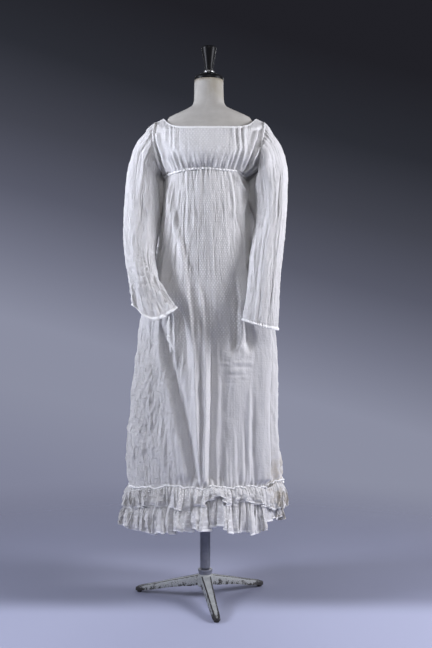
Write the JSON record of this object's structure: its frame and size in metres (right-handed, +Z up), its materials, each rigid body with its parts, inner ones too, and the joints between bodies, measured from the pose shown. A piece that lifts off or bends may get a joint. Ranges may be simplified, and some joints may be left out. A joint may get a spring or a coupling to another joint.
{
  "type": "regency gown on a dress form",
  "caption": "High-waisted long-sleeved spotted muslin gown with gathered bodice and two hem flounces, standing on a limbless canvas dress form with pole and cast tripod foot.",
  "frame": {"origin": "on the floor, under the axis of the pole, at the middle of the part's outline seen from above", "axes": "+Z up along the pole; the gown's front faces -Y; +X is the wearer's left"},
  "size_m": [0.5663, 0.5249, 1.8765],
  "materials": {
    "muslin": "semi-sheer white cotton muslin woven with small spots, crinkled",
    "white_tape": "white cotton tape and piping",
    "canvas": "ivory-grey plain canvas",
    "black_lacquer": "turned wood, black gloss lacquer",
    "nickel": "satin grey metal",
    "grey_paint": "dark grey paint on cast iron and tube, worn at the edges",
    "black_rubber": "matt black pads"
  },
  "bodies": {
    "root": {"bodice_front": "muslin", "bodice_side_right": "muslin", "bodice_side_left": "muslin", "bodice_back_right": "muslin", "bodice_back_left": "muslin", "skirt_front": "muslin", "skirt_back": "muslin", "flounce_upper": "muslin", "flounce_lower": "muslin", "sleeve_right": "muslin", "sleeve_left": "muslin", "neck_tape": "white_tape", "waist_piping": "white_tape", "hem_cord": "white_tape", "cuff_tie": "white_tape", "cuff_tie_knot": "white_tape", "cuff_tie_end_a": "white_tape", "cuff_tie_end_b": "white_tape", "form_torso": "canvas", "neck_cap": "black_lacquer", "neck_knob": "black_lacquer", "neck_ring": "nickel", "stand_pole": "grey_paint", "stand_collar": "grey_paint", "stand_base": "grey_paint", "foot_pad_front": "black_rubber", "foot_pad_left": "black_rubber", "foot_pad_right": "black_rubber"}
  },
  "joints": []
}
